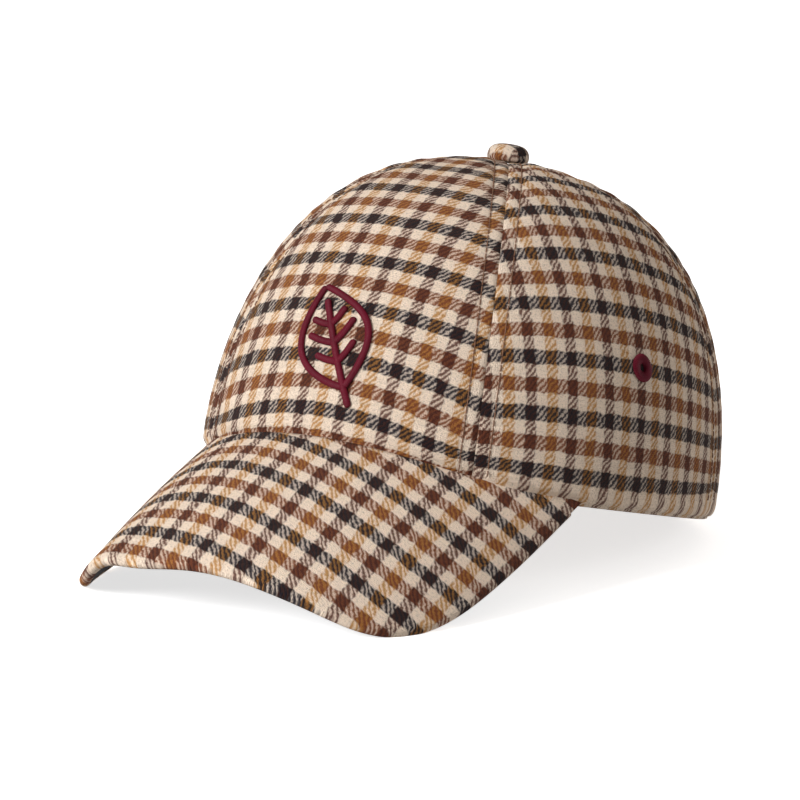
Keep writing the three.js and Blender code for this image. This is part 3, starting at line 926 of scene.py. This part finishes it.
def stitch_row_ends(seam):
    """The lifts at which a row of stitches starts and ends."""
    join = join_height(seam)
    low = float(lift_at_height(seam, join + TOPSTITCH_OVER_VISOR)) if join > 0 else TOPSTITCH_START_LIFT

    def is_wide(lift):
        return crown_profile(seam, lift)[1] > TOPSTITCH_END_RADIUS

    return low, float(turning_point(0.0, math.pi / 2, is_wide))


def stitch_row(name, flip):
    """A sewing thread beside one seam of a panel: it lies on the cloth and dips into it at each stitch."""
    middle = math.radians(PANELS[name]["middle"])
    seam = middle + flip * math.radians(PANELS[name]["width"] / 2)
    low, high = stitch_row_ends(seam)
    lift = np.linspace(low, high, int((high - low) * CROWN_HEIGHT / SEWING_STEP))
    angle = seam - flip * TOPSTITCH_DISTANCE / crown_profile(seam, lift)[1]
    surface = crown_point(angle, lift)
    normal = crown_normal(angle, lift)
    up = flat_place(surface, middle)[..., 1]
    at_stitch = np.full(len(lift), TOPSTITCH_DISTANCE)
    dip = np.maximum(np.cos(math.tau * up / STITCH_LENGTH), 0) ** THREAD_DIP_SHARPNESS
    rise = hem_curl(angle, surface[..., 2]) + seam_relief(at_stitch, up)
    rise = rise + SEWING_THREAD_RADIUS * (1 - THREAD_DIP * dip)
    centre = surface + normal * rise[:, None]
    along = unit(np.gradient(centre, axis=0))
    beside = unit(np.cross(along, normal))
    outwards = np.cross(beside, along)
    turn = np.linspace(0, math.tau, SEWING_THREAD_SIDES, endpoint=False)[None, :, None]
    section = np.cos(turn) * beside[:, None] + np.sin(turn) * outwards[:, None]
    return centre[:, None] + SEWING_THREAD_RADIUS * section


def topstitching():
    rows = [stitch_row(name, flip) for name in PANELS for flip in (-1, 1)]
    points, faces = join_tubes(rows)
    piece = make_piece("crown_topstitching", points, faces, BROWN_THREAD)
    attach(piece, "root")


topstitching()


# Visor

VISOR_COLUMNS = 200
VISOR_ROWS = 40
VISOR_EDGE_STEPS = 10
LAST_TURN = math.radians(88.5)
TAPER_LENGTH = 3 * VISOR_LIP_WIDTH
UNDERSIDE_MARGIN = 1.5 * FIT_GAP
UNDERSIDE_SHORTER = 4


def visor_layer(top_depth, bottom_depth, edge_rows, clearance, turns):
    """Points of a layer in rings, from the seam out over one face, round its edge and back."""
    taper = np.minimum(1, (visor_edge(turns)[:, 1] - VISOR_END_FORWARD) / TAPER_LENGTH)
    rings, places = [], []

    def add_row(depth, inset, share):
        margin = inset * taper + clearance
        edge = visor_inset(turns, margin)
        seam_across = (VISOR_HALF_WIDTH - margin) * np.sin(turns)
        across = mix(seam_across, edge[:, 0], share)
        forward = mix(visor_start(seam_across, depth, -VISOR_TUCK), edge[:, 1], share)
        forward = np.maximum(forward, visor_start(across, depth, -VISOR_TUCK))
        rings.append(visor_point(across, forward, depth))
        places.append(np.stack([across, forward], -1))

    shares = np.arange(VISOR_ROWS) / VISOR_ROWS
    for share in shares:
        add_row(top_depth, edge_rows[0][0], share)
    for inset, depth in edge_rows:
        add_row(depth, inset, 1)
    for share in shares[::-1]:
        add_row(bottom_depth, edge_rows[-1][0], share)
    return np.array(rings), np.array(places)


def visor_check_place(places):
    """The check runs a little askew on the visor, where its cloth is stretched over the board."""
    across, forward = places[..., 0], places[..., 1]
    askew = VISOR_ASKEW * np.sin(math.pi * np.clip(across / VISOR_ASKEW_HALF_WIDTH, -1, 1))
    warp_place = (across - VISOR_CROSSING[0]) * WARP_REPEAT / VISOR_WARP_REPEAT
    return np.stack([warp_place, forward - askew - VISOR_CROSSING[1]], -1)


def visor_top():
    radius = VISOR_THICKNESS / 2
    turns = np.linspace(0, math.pi, VISOR_EDGE_STEPS + 1)
    edge_rows = [(radius * (1 - math.sin(turn)), radius * (1 - math.cos(turn))) for turn in turns]
    edge_rows += [(VISOR_LIP_WIDTH, VISOR_THICKNESS), (VISOR_LIP_WIDTH, VISOR_TOP_THICKNESS)]
    columns = np.linspace(-LAST_TURN, LAST_TURN, VISOR_COLUMNS + 1)
    points, places = visor_layer(0, VISOR_TOP_THICKNESS, edge_rows, 0, columns)
    faces = sheet_faces(*points.shape[:2])
    piece = make_piece("visor_top_cloth", points, faces, TWEED, visor_check_place(places))
    stand_for(piece, "visor_top")


def visor_underside():
    upper = VISOR_TOP_THICKNESS + FIT_GAP
    edge_rows = [(VISOR_LIP_WIDTH, upper), (VISOR_LIP_WIDTH, VISOR_THICKNESS)]
    columns = np.linspace(-LAST_TURN, LAST_TURN, VISOR_COLUMNS + 1)[UNDERSIDE_SHORTER:-UNDERSIDE_SHORTER]
    points, places = visor_layer(upper, VISOR_THICKNESS, edge_rows, UNDERSIDE_MARGIN, columns)
    faces = sheet_faces(*points.shape[:2])
    piece = make_piece("visor_underside_cloth", points, faces, LINING_CLOTH, places)
    stand_for(piece, "visor_underside")


visor_top()
visor_underside()


# Button

BUTTON_PROFILE = [
    (0.86, 0), (0.97, 0.13), (1, 0.34), (0.97, 0.55), (0.87, 0.75), (0.68, 0.9), (0.36, 0.98), (0, 1),
]
BUTTON_ROWS = 36
BUTTON_STEPS = 96
BUTTON_GATHERS = 12
BUTTON_GATHER_DEPTH = 0.012
# Where the button's cloth was cut from the check, from a crossing of a chocolate and a navy stripe, and how
# much of its height the cloth takes in
BUTTON_CLOTH_PLACE = (-7.8, 2.7)
BUTTON_CLOTH_WRAP = 0.8


def button_faces(rows):
    """Faces of rings of points, closed by a top point and a bottom point that come after them."""
    faces = grid_faces(rows, BUTTON_STEPS, closed_columns=True).tolist()
    top, bottom = rows * BUTTON_STEPS, rows * BUTTON_STEPS + 1
    for i in range(BUTTON_STEPS):
        j = (i + 1) % BUTTON_STEPS
        faces.append([(rows - 1) * BUTTON_STEPS + i, (rows - 1) * BUTTON_STEPS + j, top])
        faces.append([j, i, bottom])
    return faces


def button_cloth_place(points, top_height):
    """The cloth is wrapped over the button from the middle of its top."""
    radius = np.linalg.norm(points[:, :2], axis=1, keepdims=True)
    reach = radius + (top_height - points[:, 2:]) * BUTTON_CLOTH_WRAP
    return points[:, :2] / np.maximum(radius, 1e-6) * reach + BUTTON_CLOTH_PLACE


def top_button():
    profile = smooth_profile(BUTTON_PROFILE, BUTTON_ROWS)[:-1]
    top_height = BUTTON_HEIGHT + BUTTON_PADDING["height"]
    turn = np.linspace(0, math.tau, BUTTON_STEPS, endpoint=False)[None, :]
    gathers = 1 + BUTTON_GATHER_DEPTH * np.cos(BUTTON_GATHERS * turn) * (1 - profile[:, 1:]) ** 2
    radius = profile[:, :1] * gathers * (BUTTON_DIAMETER + BUTTON_PADDING["width"]) / 2
    height = profile[:, 1:] * top_height + 0 * turn
    rings = np.stack([radius * np.cos(turn), radius * np.sin(turn), height], -1).reshape(-1, 3)
    points = np.concatenate([rings, [[0, 0, top_height], [0, 0, 0]]])
    places = button_cloth_place(points, top_height)
    base = np.array([0, TOP_SETBACK, CROWN_HEIGHT + FIT_GAP])
    piece = make_piece("top_button_cloth", points + base, button_faces(len(profile)), TWEED, places)
    stand_for(piece, "top_button")


top_button()


# Eyelets

EYELET_PROFILE = [(1, 0), (1, 0.45), (0.8, 0.9), (0.5, 1), (0.12, 0.75), (0, 0.2)]
EYELET_PROFILE_ROWS = 18
EYELET_BACK_WIDTH = 0.6
EYELET_SLANT = 0.05
EYELET_GROOVE = 0.22
STEPS_PER_STITCH = 8


def eyelet_profile():
    """The section of the ring of stitches: distances from its middle, and heights above the cloth."""
    bore = EYELET_HOLE / 2
    back = bore + EYELET_BACK_WIDTH
    face = smooth_profile(EYELET_PROFILE, EYELET_PROFILE_ROWS)
    profile = [(bore, -CLOTH_THICKNESS), (back, -CLOTH_THICKNESS), (back, 0)]
    profile += [(mix(bore, EYELET_DIAMETER / 2, out), up * EYELET_RISE) for out, up in face]
    return np.array(profile)


def eyelet_ring():
    """Distances from the ring's middle, heights and turns, with a groove between the stitches."""
    profile = eyelet_profile()
    turn = np.linspace(0, math.tau, EYELET_STITCHES * STEPS_PER_STITCH, endpoint=False)[None, :]
    out = profile[:, :1] - EYELET_HOLE / 2
    stitches = np.abs(np.cos(EYELET_STITCHES / 2 * (turn + out * EYELET_SLANT)))
    groove = np.where(profile[:, 1:] > 0, 1, 0) * (stitches - 1) * EYELET_GROOVE
    radius = profile[:, :1] + groove * out / (EYELET_DIAMETER - EYELET_HOLE) * 2
    return radius, profile[:, 1:] + groove, turn


def eyelet(side, flip):
    angle = flip * math.radians(SIDE_MIDDLE)
    lift = lift_at_height(angle, EYELET_HEIGHT)
    normal = crown_normal(angle, lift)
    base = crown_point(angle, lift) + normal * FIT_GAP
    along = unit(np.cross([0, 0, 1], normal))
    rise = np.cross(normal, along)
    radius, height, turn = eyelet_ring()
    ring = (radius * np.cos(turn))[..., None] * along + (radius * np.sin(turn))[..., None] * rise
    points = base + ring + height[..., None] * normal
    faces = grid_faces(*points.shape[:2], closed_rows=True, closed_columns=True)
    piece = make_piece(f"eyelet_{side}_thread", points, faces, BURGUNDY_THREAD)
    stand_for(piece, f"eyelet_{side}")


eyelet("left", 1)
eyelet("right", -1)


# Embroidered leaf

LEAF_STEM = [-0.68, -0.3, 0.05, 0.36]
LEAF_VEINS = [(-0.26, 0.62), (-0.08, 0.72), (0.1, 0.7)]
LEAF_VEIN_LEAD = 0.12
LEAF_VEIN_CURVE = [(0, 0), (0.5, 0.32), (1, 0.75)]
LEAF_STEPS = 12
LEAF_FULLNESS = 0.9
LEAF_TAPER = 0.3
THREAD_WIDTH = 0.62
THREAD_STEP = 0.13
THREAD_SLANT = 0.35
THREAD_GROOVE = {"height": 0.26, "width": 0.05}
SATIN_STEPS = 12
SATIN_FULLNESS = 0.8
SATIN_END_HEIGHT = 0.02


def leaf_half_width(along):
    oval = np.sin(math.pi * (along + 0.5)) ** LEAF_FULLNESS
    return LEAF_WIDTH / 2 * oval * (1 - LEAF_TAPER * along)


def on_front_panel(across, up, rise):
    """A place on the front panel, measured on the cloth from the leaf's middle."""
    middle = lift_at_height(0.0, LEAF_HEIGHT_ON_PANEL)
    climbed = crown_point(0.0, middle + SMALL_STEP) - crown_point(0.0, middle)
    per_radian = np.linalg.norm(climbed) / SMALL_STEP
    lift = middle + up / per_radian
    angle = across / crown_profile(0.0, lift)[1]
    return crown_point(angle, lift) + crown_normal(angle, lift) * (FIT_GAP + rise)[..., None]


def stitched_line(route):
    """Rows of points round a raised line of slanting satin stitches along a route."""
    route = np.array(route, float)
    length = np.linalg.norm(np.diff(route, axis=0), axis=1).sum()
    centre = smooth_profile(route, int(length / THREAD_STEP))
    walked = np.concatenate([[0], np.cumsum(np.linalg.norm(np.diff(centre, axis=0), axis=1))])
    ahead = unit(np.gradient(centre, axis=0))
    beside = np.stack([ahead[:, 1], -ahead[:, 0]], -1)
    turns = np.linspace(0, math.pi, SATIN_STEPS + 1)
    side = np.cos(turns)[None, :] * LEAF_LINE_WIDTH / 2
    ends = np.minimum(1, np.minimum(walked, walked[-1] - walked) / (LEAF_LINE_WIDTH / 2))
    rounded = np.sqrt(np.maximum(1 - (1 - ends) ** 2, SATIN_END_HEIGHT))[:, None]
    thread = np.abs(np.sin(math.pi * (walked[:, None] + side * THREAD_SLANT) / THREAD_WIDTH))
    rise = np.sin(turns)[None, :] ** SATIN_FULLNESS * LEAF_RISE * rounded
    rise = rise * (1 - THREAD_GROOVE["height"] * (1 - thread))
    side = side * rounded * (1 - THREAD_GROOVE["width"] * (1 - thread))
    flat = centre[:, None, :] + side[..., None] * beside[:, None, :]
    lean = math.radians(LEAF_LEAN)
    across = flat[..., 0] * math.cos(lean) - flat[..., 1] * math.sin(lean)
    up = flat[..., 0] * math.sin(lean) + flat[..., 1] * math.cos(lean)
    return on_front_panel(across, up, rise)


def leaf_routes():
    """The leaf's two edges, its stem and its veins, laid out flat and upright from its middle."""
    along = np.linspace(-0.5, 0.5, LEAF_STEPS + 1)
    edge = np.stack([leaf_half_width(along), along * LEAF_LENGTH], -1)
    routes = [edge, edge * [-1, 1], [(0, share * LEAF_LENGTH) for share in LEAF_STEM]]
    for place, reach in LEAF_VEINS:
        tip = leaf_half_width(place + LEAF_VEIN_LEAD) * reach
        vein = np.array(LEAF_VEIN_CURVE) * tip + [0, place * LEAF_LENGTH]
        routes += [vein * [-1, 1], vein]
    return routes


def embroidered_leaf():
    points, faces = join_tubes([stitched_line(route) for route in leaf_routes()])
    piece = make_piece("leaf_embroidery", points, faces, BURGUNDY_THREAD)
    stand_for(piece, "embroidered_leaf")


embroidered_leaf()


# Studio, in metres

FLOOR_SIZE = 8
LIGHT_TARGET = (0, 0, 0.06)
LIGHTS = {
    "key": {"place": (-0.72, -1.85, 1.05), "size": 1.1, "power": 57},
    "rim": {"place": (1.6, 1.2, 0.8), "size": 1.0, "power": 6},
}
WORLD_COLOUR = (1.0, 0.955, 0.915, 1.0)
WORLD_STRENGTH = 0.4
CAMERA_REACH = 100


def make_floor():
    bpy.ops.mesh.primitive_plane_add(size=FLOOR_SIZE)
    floor = bpy.context.active_object
    floor.name = "floor"
    floor.data.materials.append(floor_finish())
    # The glowing floor throws no soft light up onto the cap.
    floor.visible_diffuse = False


def make_light(name, place, size, power):
    light = bpy.data.lights.new(name, "AREA")
    light.shape = "DISK"
    light.size = size
    light.energy = power
    lamp = bpy.data.objects.new(name, light)
    lamp.location = place
    lamp.rotation_euler = (Vector(LIGHT_TARGET) - Vector(place)).to_track_quat("-Z", "Y").to_euler()
    bpy.context.scene.collection.objects.link(lamp)


def make_world():
    world = bpy.data.worlds.new("studio")
    world.use_nodes = True
    background = world.node_tree.nodes["Background"]
    background.inputs["Color"].default_value = WORLD_COLOUR
    background.inputs["Strength"].default_value = WORLD_STRENGTH
    bpy.context.scene.world = world


def show_true_colours():
    bpy.context.scene.view_settings.view_transform = "Standard"


def make_camera():
    azimuth, elevation, roll = (math.radians(a) for a in (VIEW_AZIMUTH, VIEW_ELEVATION, VIEW_ROLL))
    right = Vector((math.cos(azimuth), math.sin(azimuth), 0))
    back = Vector((
        math.sin(azimuth) * math.cos(elevation),
        -math.cos(azimuth) * math.cos(elevation),
        math.sin(elevation),
    ))
    up = back.cross(right)
    rolled_right = right * math.cos(roll) + up * math.sin(roll)
    rolled_up = up * math.cos(roll) - right * math.sin(roll)
    target = Vector((0, CENTRE_SHIFT, VIEW_TARGET_HEIGHT)) * MM
    camera = bpy.data.objects.new("camera", bpy.data.cameras.new("camera"))
    turn = Matrix((rolled_right, rolled_up, back)).transposed().to_4x4()
    camera.matrix_world = Matrix.Translation(target + back * VIEW_DISTANCE * MM) @ turn
    camera.data.sensor_width = SENSOR_WIDTH
    camera.data.lens = VIEW_PIXELS_PER_MM * VIEW_DISTANCE * SENSOR_WIDTH / PHOTO_SIZE
    camera.data.shift_x = (PHOTO_SIZE / 2 - VIEW_TARGET_PIXEL[0]) / PHOTO_SIZE
    camera.data.shift_y = (VIEW_TARGET_PIXEL[1] - PHOTO_SIZE / 2) / PHOTO_SIZE
    camera.data.clip_end = CAMERA_REACH
    bpy.context.scene.collection.objects.link(camera)
    bpy.context.scene.camera = camera


make_floor()
make_world()
for light_name, settings in LIGHTS.items():
    make_light(light_name, **settings)
make_camera()
show_true_colours()
